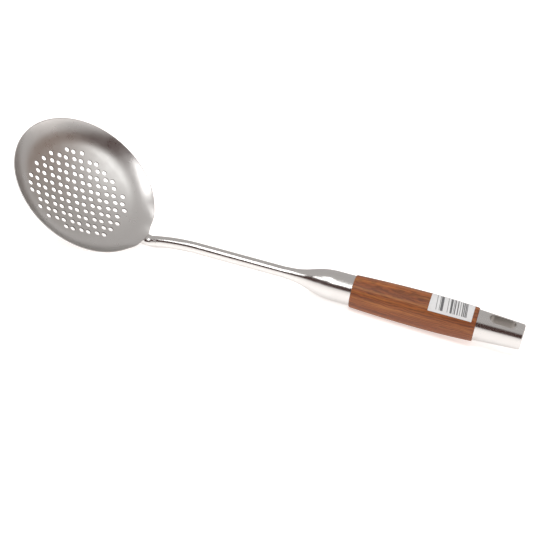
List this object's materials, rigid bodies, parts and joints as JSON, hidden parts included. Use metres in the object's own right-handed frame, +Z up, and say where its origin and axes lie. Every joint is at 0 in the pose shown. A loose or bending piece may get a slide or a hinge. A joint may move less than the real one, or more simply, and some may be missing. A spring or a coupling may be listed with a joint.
{
  "type": "skimmer",
  "caption": "Perforated round kitchen skimmer: shallow steel dish on an arched bar, flared ferrule, turned wooden grip and a tapered end cap with a hang slot.",
  "frame": {"origin": "middle of the bounding box on the table the skimmer lies on", "axes": "+Z up from the table; +X along the handle from the dish to the cap, the skimmer lying on its grip's belly, the bar's end and the near side of the dish"},
  "size_m": [0.4182, 0.1166, 0.0813],
  "materials": {
    "dish_steel": "satin brushed stainless sheet",
    "bar_steel": "satin brushed stainless bar",
    "handle_steel": "satin brushed stainless shell",
    "liner_steel": "plain drawn stainless tube",
    "plain_steel": "zinc plated hardware",
    "grip_wood": "oiled red-brown hardwood, lengthwise grain",
    "label_paper": null
  },
  "bodies": {
    "root": {"bowl": "dish_steel", "neck_weld": "dish_steel", "shank": "bar_steel", "front_ferrule": "handle_steel", "tang_rod": "plain_steel", "wood_grip": "grip_wood", "tang_washer": "plain_steel", "tang_nut": "plain_steel", "end_cap": "handle_steel", "hang_slot_liner": "liner_steel", "barcode_label": "label_paper"}
  },
  "joints": []
}
